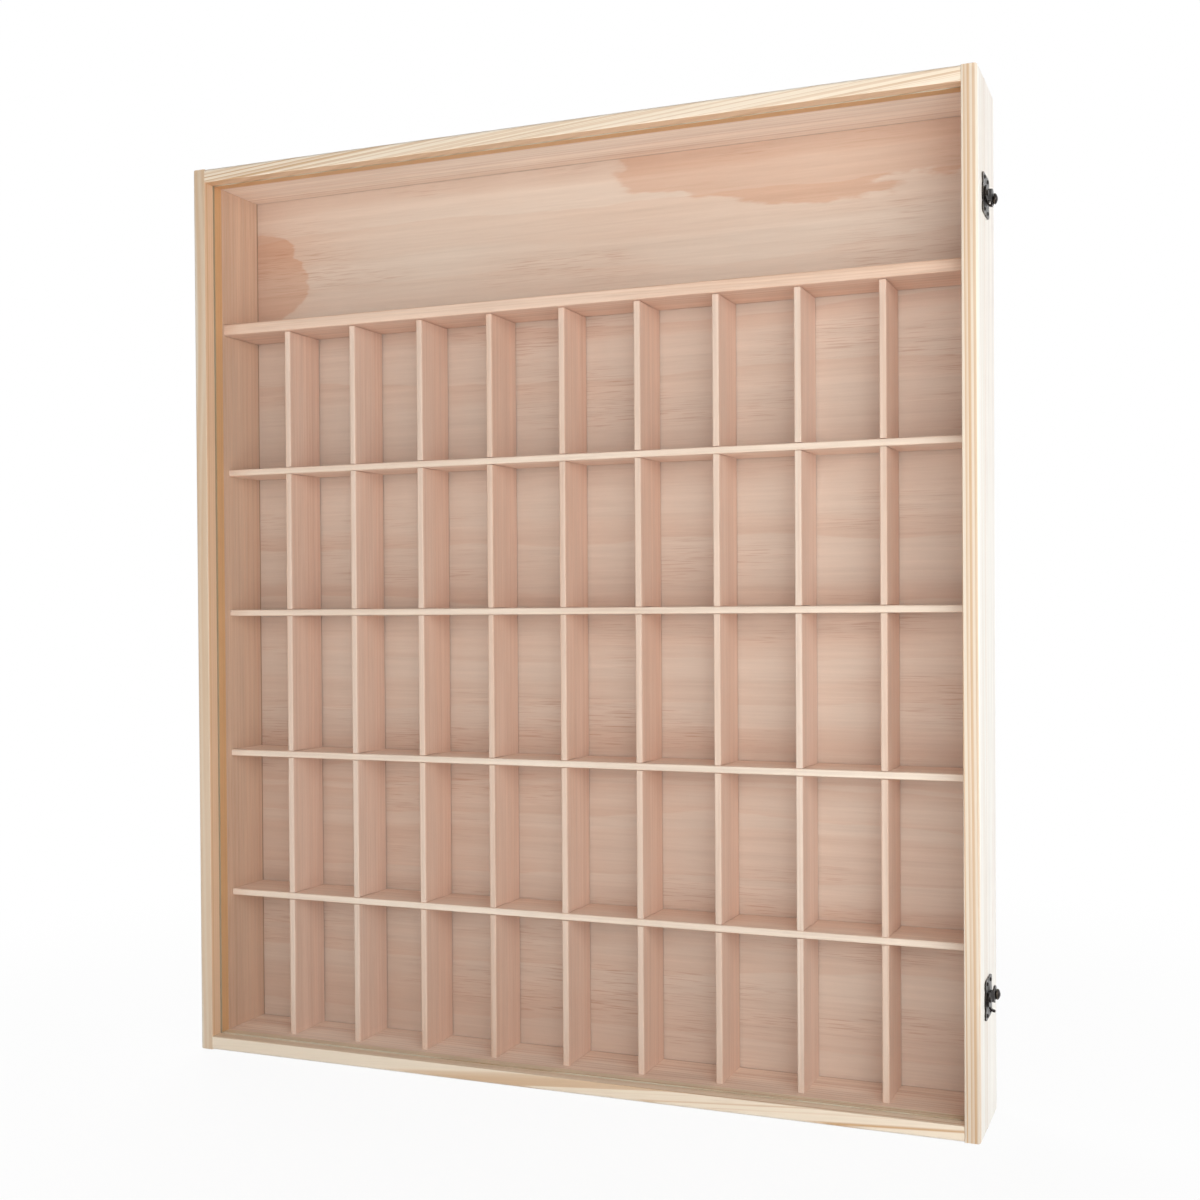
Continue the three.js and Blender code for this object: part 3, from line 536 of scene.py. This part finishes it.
def back_wood():
    wood = bpy.context.scene.cabinet_wood
    made = "back_pine_sheet" in bpy.data.materials
    material = wood_material("back_pine_sheet", wood.back_pale, wood.back_amber, False,
                             wood.ring_spacing * 14, wood.wander * 12, contrast=0.26,
                             fibre=0.2, dashes=0.4, patches=0.15, ragged=0.5, band=(0.25, 0.94))
    if not made:
        tree = material.node_tree
        place = add(tree, "ShaderNodeTexCoord").outputs["Object"]
        patches = [flame(tree, place, middle, reach) for middle, reach in FLAMES]
        tree.links.new(maths(tree, "MAXIMUM", *patches), tree.nodes["Figure"].inputs["Flame"])
    return material


def bronze():
    if "aged_bronze_patina" in bpy.data.materials:
        return bpy.data.materials["aged_bronze_patina"]
    metal = bpy.context.scene.cabinet_hardware
    material, tree = new_material("aged_bronze_patina")
    patina = add(tree, "ShaderNodeGroup", node_tree=worn_patina())
    patina.inputs["Dark"].default_value = (*metal.dark, 1)
    patina.inputs["Worn"].default_value = (*metal.worn, 1)
    tree.links.new(add(tree, "ShaderNodeTexCoord").outputs["Object"], patina.inputs["Position"])
    tree.links.new(attribute(tree, "edge").outputs["Fac"], patina.inputs["Edge"])
    relief = add(tree, "ShaderNodeBump", {"Height": patina.outputs["Height"], "Strength": 0.35,
                                          "Distance": 0.00008})
    surface = add(tree, "ShaderNodeBsdfPrincipled", {
        "Base Color": patina.outputs["Color"], "Roughness": patina.outputs["Roughness"],
        "Normal": relief.outputs[0], "Metallic": 0.85})
    end = add(tree, "ShaderNodeOutputMaterial")
    tree.links.new(surface.outputs[0], end.inputs[0])
    return material


def clear_sheet():
    if "clear_acrylic_sheet" in bpy.data.materials:
        return bpy.data.materials["clear_acrylic_sheet"]
    glazing = bpy.context.scene.cabinet_glazing
    material, tree = new_material("clear_acrylic_sheet")
    through = add(tree, "ShaderNodeBsdfTransparent", {"Color": (*glazing.tint, 1)})
    mirrored = add(tree, "ShaderNodeBsdfGlossy", {"Color": (1, 1, 1, 1), "Roughness": 0.02})
    mirror = add(tree, "ShaderNodeFresnel", {"IOR": glazing.index}).outputs[0]
    inside = add(tree, "ShaderNodeNewGeometry").outputs["Backfacing"]
    share = maths(tree, "MULTIPLY", mirror, maths(tree, "SUBTRACT", 1.0, inside))
    mixed = add(tree, "ShaderNodeMixShader", {0: share, 1: through.outputs[0],
                                              2: mirrored.outputs[0]})
    end = add(tree, "ShaderNodeOutputMaterial")
    tree.links.new(mixed.outputs[0], end.inputs[0])
    return material


# Geometry Nodes
def geometry_tree(name, inputs):
    """An empty Geometry Nodes tree with a geometry socket and named inputs."""
    tree = bpy.data.node_groups.new(name, "GeometryNodeTree")
    tree.interface.new_socket("Geometry", in_out="INPUT", socket_type="NodeSocketGeometry")
    tree.interface.new_socket("Geometry", in_out="OUTPUT", socket_type="NodeSocketGeometry")
    for label, kind, default in inputs:
        socket = tree.interface.new_socket(label, in_out="INPUT", socket_type=kind)
        if default is not None:
            socket.default_value = default
    return tree, tree.nodes.new("NodeGroupInput").outputs, tree.nodes.new("NodeGroupOutput")


def run_tree(piece, tree, values):
    """Puts a tree on an object with its inputs set, and turns the result into a plain mesh."""
    grown = piece.modifiers.new("Build", "NODES")
    grown.node_group = tree
    for item in tree.interface.items_tree:
        if item.in_out == "INPUT" and item.name in values:
            grown[item.identifier] = values[item.name]
    return settle(piece)


def repeated_boards():
    """Copies one board along a line, each with its own pith, so that no two look alike."""
    if "Repeated boards" in bpy.data.node_groups:
        return bpy.data.node_groups["Repeated boards"]
    tree, given, result = geometry_tree("Repeated boards", [
        ("Count", "NodeSocketInt", 4), ("Step", VECTOR, None), ("Pith", VECTOR, None),
        ("Pith Spread", VECTOR, None), ("Seed", "NodeSocketInt", 7),
        ("Material", "NodeSocketMaterial", None)])
    line = add(tree, "GeometryNodeMeshLine", {"Count": given["Count"], "Offset": given["Step"]},
               mode="OFFSET")
    copies = add(tree, "GeometryNodeInstanceOnPoints", {"Points": line.outputs[0],
                                                        "Instance": given["Geometry"]})
    least = vector_maths(tree, "MULTIPLY", given["Pith Spread"], (-1.0, -1.0, -1.0))
    index = add(tree, "GeometryNodeInputIndex").outputs[0]
    jitter = add(tree, "FunctionNodeRandomValue", data_type="FLOAT_VECTOR")
    for key, value in ((0, least), (1, given["Pith Spread"]), (7, index), (8, given["Seed"])):
        tree.links.new(value, jitter.inputs[key])
    place = add(tree, "GeometryNodeInputPosition").outputs[0]
    heart = vector_maths(tree, "ADD", vector_maths(tree, "ADD", given["Pith"], place),
                         jitter.outputs[0])
    store = add(tree, "GeometryNodeStoreNamedAttribute", {"Geometry": copies.outputs[0],
                                                          "Name": "pith"},
                data_type="FLOAT_VECTOR", domain="INSTANCE")
    tree.links.new(heart, store.inputs["Value"])
    chance = add(tree, "FunctionNodeRandomValue", {2: 0.0, 3: 1.0}, data_type="FLOAT")
    tree.links.new(index, chance.inputs[7])
    tree.links.new(given["Seed"], chance.inputs[8])
    tinted = add(tree, "GeometryNodeStoreNamedAttribute", {"Geometry": store.outputs[0],
                                                           "Name": "tint"},
                 data_type="FLOAT", domain="INSTANCE")
    tree.links.new(chance.outputs[1], tinted.inputs["Value"])
    real = add(tree, "GeometryNodeRealizeInstances", {0: tinted.outputs[0]})
    painted = add(tree, "GeometryNodeSetMaterial", {0: real.outputs[0],
                                                    "Material": given["Material"]})
    tree.links.new(painted.outputs[0], result.inputs[0])
    return tree


def small_screws():
    """A domed screw head with a cross recess, set on each point and turned at random."""
    if "Small screws" in bpy.data.node_groups:
        return bpy.data.node_groups["Small screws"]
    tree, given, result = geometry_tree("Small screws", [
        ("Head Radius", FLOAT, 0.0016), ("Head Height", FLOAT, 0.0008),
        ("Recess Width", FLOAT, 0.0003), ("Recess Depth", FLOAT, 0.0004),
        ("Outwards", VECTOR, None), ("Seed", "NodeSocketInt", 3),
        ("Material", "NodeSocketMaterial", None)])
    radius, height = given["Head Radius"], given["Head Height"]
    ball = add(tree, "GeometryNodeMeshUVSphere", {"Segments": 24, "Rings": 12, "Radius": 1.0})
    size = add(tree, "ShaderNodeCombineXYZ", {0: radius, 1: radius, 2: height}).outputs[0]
    dome = add(tree, "GeometryNodeTransform", {"Geometry": ball.outputs[0], "Scale": size})
    arm = maths(tree, "MULTIPLY", radius, 1.15)
    deep = maths(tree, "MULTIPLY", given["Recess Depth"], 2.0)
    top = add(tree, "ShaderNodeCombineXYZ", {2: height}).outputs[0]
    slots = []
    for sizes in ((arm, given["Recess Width"]), (given["Recess Width"], arm)):
        bar = add(tree, "ShaderNodeCombineXYZ", {0: sizes[0], 1: sizes[1], 2: deep}).outputs[0]
        box = add(tree, "GeometryNodeMeshCube", {"Size": bar})
        slots.append(add(tree, "GeometryNodeTransform", {"Geometry": box.outputs[0],
                                                         "Translation": top}).outputs[0])
    head = add(tree, "GeometryNodeMeshBoolean", {"Mesh 1": dome.outputs[0]},
               operation="DIFFERENCE")
    for slot in slots:
        tree.links.new(slot, head.inputs["Mesh 2"])
    smooth = add(tree, "GeometryNodeSetShadeSmooth", {0: head.outputs[0]})
    turn = add(tree, "FunctionNodeRandomValue", {2: 0.0, 3: math.pi, 8: given["Seed"]},
               data_type="FLOAT").outputs[1]
    spin = add(tree, "FunctionNodeAxisAngleToRotation", {"Axis": (0.0, 0.0, 1.0), "Angle": turn})
    lean = add(tree, "FunctionNodeAlignRotationToVector", {"Rotation": spin.outputs[0],
                                                           "Vector": given["Outwards"]}, axis="Z")
    copies = add(tree, "GeometryNodeInstanceOnPoints", {"Points": given["Geometry"],
                                                        "Instance": smooth.outputs[0],
                                                        "Rotation": lean.outputs[0]})
    real = add(tree, "GeometryNodeRealizeInstances", {0: copies.outputs[0]})
    painted = add(tree, "GeometryNodeSetMaterial", {0: real.outputs[0],
                                                    "Material": given["Material"]})
    tree.links.new(painted.outputs[0], result.inputs[0])
    return tree


# The cabinet's pieces
# How far the front faces of the shelves and dividers take the near-white outside colour, a painted
# highlight standing in for the frontal light on them
GRID_FRONT_HIGHLIGHT = 0.1
# How near the cabinet's outside a face's middle has to be to belong to it
OUTSIDE_REACH = 2.6 * MM
# The least part of a face's normal along an axis with which the face looks along it
FACING = 0.9
# How amber the inside of the door frame is on the sill, before the sheet and behind it; the sill
# is kept pale as painted light, standing in for the light from above on it
LIT_SILL_SHARE, BEFORE_SHEET, BEHIND_SHEET = 0.1, 0.6, 1.0


def outside_share(centre, normal, front):
    """How far a face takes the near-white painted highlight, on the cabinet's side, top or
    underside or on a front face, from 0 to 1.
    """
    share = front * max(0.0, -normal.y) ** 4
    for axis, (low, high) in ((0, (CASE_LOW.x, CASE_HIGH.x)), (2, (CASE_LOW.z, CASE_HIGH.z))):
        near = min(centre[axis] - low, high - centre[axis]) < OUTSIDE_REACH
        outwards = normal[axis] * (centre[axis] - (low + high) / 2) > 0
        if near and outwards:
            share = max(share, normal[axis] ** 2)
    return share


def reveal_share(centre, normal):
    """How amber a face inside the door frame is: least on the sill, whose paleness is painted
    light, most behind the sheet.
    """
    middle = (CASE_LOW + CASE_HIGH) / 2
    inwards = max(-normal[axis] * math.copysign(1, centre[axis] - middle[axis]) for axis in (0, 2))
    if inwards < FACING:
        return 0.0
    # The upward-facing sill is kept pale: painted light
    if normal.z > FACING:
        return LIT_SILL_SHARE
    sheet_low, sheet_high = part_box("door_glazing")
    return BEFORE_SHEET if centre.y < (sheet_low.y + sheet_high.y) / 2 else BEHIND_SHEET


def mark_faces(piece, in_door=False, front=0.0):
    """Writes on every face how far it takes the near-white painted highlight of the outside and
    how amber it is in the reveal; front is for front faces.
    """
    faces = piece.data.polygons
    outside = piece.data.attributes.new("outside", "FLOAT", "FACE")
    outside.data.foreach_set("value", [outside_share(f.center, f.normal, front) for f in faces])
    reveal = piece.data.attributes.new("reveal", "FLOAT", "FACE")
    reveal.data.foreach_set("value", [reveal_share(f.center, f.normal) if in_door else 0.0
                                      for f in faces])


def board(name, node, body, material, heart):
    """A board with eased edges, whose tree's heart lies at heart, in mm from its middle."""
    wood = bpy.context.scene.cabinet_wood
    piece = softened(name, node, wood.arris)
    low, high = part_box(node)
    set_pith(piece, (low + high) / 2 + Vector(heart) * MM)
    mark_faces(piece, in_door=body == "door")
    return hold(piece, body, material, [node])


class CABINET_OT_door_frame(bpy.types.Operator):
    """Stiles and rails of the door, with growth lines running along each"""
    bl_idname = "cabinet.door_frame"
    bl_label = "Door frame"

    def execute(self, context):
        runs = (("door_stile_left", "door_left_stile", True, (14, 120, 40)),
                ("door_stile_right", "door_right_stile", True, (88, 16, -30)),
                ("door_rail_top", "door_top_rail", False, (60, 10, -70)),
                ("door_rail_bottom", "door_bottom_rail", False, (-90, 130, 24)))
        for name, node, upright, heart in runs:
            board(name, node, "door", frame_wood(upright), heart)
        return {"FINISHED"}


class CABINET_OT_glazing(bpy.types.Operator):
    """Clear sheet held in the groove of the door frame"""
    bl_idname = "cabinet.glazing"
    bl_label = "Glazing"

    def execute(self, context):
        sheet = softened("door_clear_sheet", "door_glazing", context.scene.cabinet_glazing.arris)
        hold(sheet, "door", clear_sheet(), ["door_glazing"])
        return {"FINISHED"}


class CABINET_OT_case(bpy.types.Operator):
    """Sides, top, bottom and display shelf of the case"""
    bl_idname = "cabinet.case"
    bl_label = "Case"

    def execute(self, context):
        wood = context.scene.cabinet_wood
        side = case_wood("case_pine_upright", wood.case_pale, upright=True)
        lid = case_wood("case_pine_lid", wood.lid_pale)
        shelf = case_wood("case_pine_shelf", wood.shelf_pale)
        runs = (("case_side_left", "case_left_side", side, (-30, 80, 0)),
                ("case_side_right", "case_right_side", side, (34, 90, 60)),
                ("case_board_top", "case_top", lid, (20, 70, 26)),
                ("case_board_bottom", "case_bottom", lid, (-60, 75, -40)),
                ("case_shelf_display", "display_shelf", shelf, (40, 30, -55)))
        for name, node, material, heart in runs:
            board(name, node, "cabinet", material, heart)
        return {"FINISHED"}


class CABINET_OT_back(bpy.types.Operator):
    """Thin back panel with a flame figure across it"""
    bl_idname = "cabinet.back"
    bl_label = "Back panel"

    def execute(self, context):
        board("case_sheet_back", "case_back_panel", "cabinet", back_wood(),
              (300, 60, 130))
        return {"FINISHED"}


class CABINET_OT_grid(bpy.types.Operator):
    """Shelves and dividers, halved over each other"""
    bl_idname = "cabinet.grid"
    bl_label = "Grid"

    def execute(self, context):
        wood = context.scene.cabinet_wood
        runs = (("grid_shelf", "grid_shelves_level", 4, False, (40.0, 8.0, 60.0)),
                ("grid_divider", "grid_dividers_upright", 9, True, (60.0, 10.0, 300.0)))
        for stem, name, count, upright, reach in runs:
            nodes = [f"{stem}_{number}" for number in range(1, count + 1)]
            first, second = (Vector(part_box(node)[0]) for node in nodes[:2])
            low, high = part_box(nodes[0])
            piece = softened(name, nodes[0], wood.arris)
            # The front faces of the grid get a share of painted highlight
            mark_faces(piece, front=GRID_FRONT_HIGHLIGHT)
            heart = (low + high) / 2 + Vector((20, 46, 12) if upright else (0, 52, 18)) * MM
            run_tree(piece, repeated_boards(), {
                "Count": count, "Step": tuple(second - first), "Pith": tuple(heart),
                "Pith Spread": tuple(Vector(reach) * MM), "Seed": 11,
                "Material": grid_wood(upright)})
            hold(piece, "cabinet", None, nodes)
        return {"FINISHED"}


def metal_piece(name, node, body):
    piece = softened(name, node, bpy.context.scene.cabinet_hardware.arris)
    return hold(piece, body, bronze(), [node])


class CABINET_OT_hinges(bpy.types.Operator):
    """Leaves and pins of the two surface hinges"""
    bl_idname = "cabinet.hinges"
    bl_label = "Hinges"

    def execute(self, context):
        for level in ("lower", "upper"):
            metal_piece(f"hinge_leaf_door_{level}", f"{level}_hinge_door_leaf", "door")
            metal_piece(f"hinge_leaf_case_{level}", f"{level}_hinge_case_leaf", "cabinet")
            metal_piece(f"hinge_pin_{level}", f"{level}_hinge_pin", "cabinet")
        return {"FINISHED"}


class CABINET_OT_latches(bpy.types.Operator):
    """Plates, posts, hooks and rivets of the two latches"""
    bl_idname = "cabinet.latches"
    bl_label = "Latches"

    def execute(self, context):
        for level in ("lower", "upper"):
            metal_piece(f"latch_plate_door_{level}", f"{level}_latch_door_plate", "door")
            metal_piece(f"latch_plate_catch_{level}", f"{level}_latch_catch_plate", "cabinet")
            metal_piece(f"latch_post_{level}", f"{level}_latch_catch_post", "cabinet")
            metal_piece(f"latch_hook_{level}", f"{level}_latch_hook", f"{level}_hook")
            metal_piece(f"latch_rivet_{level}", f"{level}_latch_pivot_rivet", "door")
        return {"FINISHED"}


class CABINET_OT_screws(bpy.types.Operator):
    """Domed screws of the hinges and latches"""
    bl_idname = "cabinet.screws"
    bl_label = "Screws"

    def execute(self, context):
        metal = context.scene.cabinet_hardware
        runs = (("hinge", "door", "door", -1), ("hinge", "case", "cabinet", -1),
                ("latch", "door", "door", 1), ("latch", "catch", "cabinet", 1))
        for number, (fitting, leaf, body, side) in enumerate(runs):
            nodes = [f"{level}_{fitting}_{leaf}_screw_{end}"
                     for level in ("lower", "upper") for end in ("lower", "upper")]
            seats = []
            for node in nodes:
                low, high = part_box(node)
                seat = (low + high) / 2
                inset = metal.screw_height
                seat.x = high.x - inset if side > 0 else low.x + inset
                seats.append(seat)
            mesh = bpy.data.meshes.new(f"screws_{fitting}_{leaf}")
            mesh.from_pydata([tuple(seat) for seat in seats], [], [])
            piece = piece_from(mesh, mesh.name)
            run_tree(piece, small_screws(), {
                "Head Radius": metal.screw_radius, "Head Height": metal.screw_height,
                "Recess Width": metal.slot_width, "Recess Depth": metal.slot_depth,
                "Outwards": (float(side), 0.0, 0.0), "Seed": number, "Material": bronze()})
            hold(piece, body, None, nodes)
        return {"FINISHED"}


# The stage
MIDDLE = (0.0, 0.0, 0.42)
FLOOR_GAP = 0.5 * MM


def lamp(name, place, size, power, mirrored=False, target=MIDDLE):
    """A round lamp that the camera doesn't see; a mirrored one shows in metal and in the sheet."""
    light = bpy.data.lights.new(name, "AREA")
    light.shape = "DISK"
    light.size = size
    light.energy = power
    piece = bpy.data.objects.new(name, light)
    bpy.context.scene.collection.objects.link(piece)
    piece.location = place
    piece.visible_camera = False
    piece.visible_glossy = mirrored
    piece.rotation_euler = (Vector(target) - Vector(place)).to_track_quat("-Z", "Y").to_euler()


def seen_white(tree, share):
    """A share of plain white for rays from the eye, mirrors and clear sheets."""
    path = add(tree, "ShaderNodeLightPath").outputs
    seen = maths(tree, "MAXIMUM", path["Is Camera Ray"],
                 maths(tree, "MAXIMUM", path["Is Glossy Ray"], path["Is Transmission Ray"]))
    return maths(tree, "MULTIPLY", seen, share)


def studio_floor():
    stage = bpy.context.scene.cabinet_stage
    material, tree = new_material("studio_floor_white")
    matt = add(tree, "ShaderNodeBsdfPrincipled", {"Base Color": (0.86, 0.86, 0.86, 1),
                                                  "Roughness": 0.7})
    glow = add(tree, "ShaderNodeEmission", {"Color": (1, 1, 1, 1), "Strength": 1.0})
    place = add(tree, "ShaderNodeTexCoord").outputs["Object"]
    share = spread(tree, vector_maths(tree, "LENGTH", place), 0.35, 1.1, stage.floor_white, 1.0)
    mixed = add(tree, "ShaderNodeMixShader", {0: seen_white(tree, share),
                                              1: matt.outputs[0], 2: glow.outputs[0]})
    end = add(tree, "ShaderNodeOutputMaterial")
    tree.links.new(mixed.outputs[0], end.inputs[0])
    return material


class CABINET_OT_stage(bpy.types.Operator):
    """Floor, room light, lamps and the camera"""
    bl_idname = "cabinet.stage"
    bl_label = "Stage"

    def execute(self, context):
        stage = context.scene.cabinet_stage
        shape = bmesh.new()
        bmesh.ops.create_grid(shape, x_segments=8, y_segments=8, size=6.0)
        mesh = bpy.data.meshes.new("studio_floor")
        shape.to_mesh(mesh)
        shape.free()
        floor = piece_from(mesh, "studio_floor")
        floor.location.z = CAD_BOX[0][2] - FLOOR_GAP
        floor.data.materials.append(studio_floor())
        world = bpy.data.worlds.new("studio_room")
        world.use_nodes = True
        tree = world.node_tree
        tree.nodes.clear()
        plain = add(tree, "ShaderNodeBackground", {"Color": (1, 1, 1, 1), "Strength": stage.sky})
        white = add(tree, "ShaderNodeBackground", {"Color": (1, 1, 1, 1), "Strength": 1.0})
        mixed = add(tree, "ShaderNodeMixShader", {0: seen_white(tree, 1.0),
                                                  1: plain.outputs[0], 2: white.outputs[0]})
        end = add(tree, "ShaderNodeOutputWorld")
        tree.links.new(mixed.outputs[0], end.inputs[0])
        context.scene.world = world
        lamp("key_lamp", (1.5, -1.9, 1.15), 2.0, stage.key_power, mirrored=True)
        lamp("fill_lamp", (0.55, -1.6, 0.55), 1.1, stage.fill_power)
        lamp("near_lamp", (0.95, -1.0, 0.6), 1.1, stage.near_power)
        lamp("left_lamp", (-0.7, -1.3, 0.6), 1.1, stage.left_power)
        lamp("rear_lamp", (-1.3, 1.4, 2.2), 2.0, stage.rear_power)
        lamp("bounce_lamp", (0.2, -1.0, 0.03), 1.6, stage.bounce_power, target=(0.2, -1.0, 1.0))
        lamp("side_lamp", (2.2, 0.15, 0.75), 1.0, stage.side_power, mirrored=True)
        lens = bpy.data.cameras.new("photo_camera")
        lens.lens = stage.lens
        lens.sensor_width = 36
        lens.shift_x, lens.shift_y = stage.shift
        lens.clip_start = 0.01
        lens.clip_end = 100
        camera = bpy.data.objects.new("photo_camera", lens)
        context.scene.collection.objects.link(camera)
        level = math.pi / 2
        turn = (Matrix.Rotation(stage.yaw, 3, "Z")
                @ Matrix.Rotation(level + stage.pitch, 3, "X")
                @ Matrix.Rotation(stage.roll, 3, "Z"))
        camera.location = stage.eye
        camera.rotation_euler = turn.to_euler()
        context.scene.camera = camera
        context.scene.view_settings.view_transform = "Standard"
        return {"FINISHED"}


STEPS = (CABINET_OT_stage, CABINET_OT_door_frame, CABINET_OT_glazing, CABINET_OT_case,
         CABINET_OT_back, CABINET_OT_grid, CABINET_OT_hinges, CABINET_OT_latches,
         CABINET_OT_screws)
SETTINGS = (("cabinet_wood", CabinetWood), ("cabinet_glazing", CabinetGlazing),
            ("cabinet_hardware", CabinetHardware), ("cabinet_stage", CabinetStage))


class CABINET_PT_panel(bpy.types.Panel):
    """Lists the cabinet's settings and steps"""
    bl_idname = "CABINET_PT_panel"
    bl_label = "Display Cabinet"
    bl_space_type = "VIEW_3D"
    bl_region_type = "UI"
    bl_category = "Cabinet"

    def draw(self, context):
        layout = self.layout
        for attribute_name, group in SETTINGS:
            box = layout.box()
            box.label(text=group.__doc__)
            settings = getattr(context.scene, attribute_name)
            for name in group.__annotations__:
                box.prop(settings, name)
        for step in STEPS:
            layout.operator(step.bl_idname)


def register():
    for attribute_name, group in SETTINGS:
        bpy.utils.register_class(group)
        setattr(bpy.types.Scene, attribute_name, PointerProperty(type=group))
    for step in STEPS:
        bpy.utils.register_class(step)
    bpy.utils.register_class(CABINET_PT_panel)


def unregister():
    bpy.utils.unregister_class(CABINET_PT_panel)
    for step in reversed(STEPS):
        bpy.utils.unregister_class(step)
    for attribute_name, group in reversed(SETTINGS):
        delattr(bpy.types.Scene, attribute_name)
        bpy.utils.unregister_class(group)


def main():
    register()
    for step in STEPS:
        category, name = step.bl_idname.split(".")
        getattr(getattr(bpy.ops, category), name)()


if __name__ == "__main__":
    main()
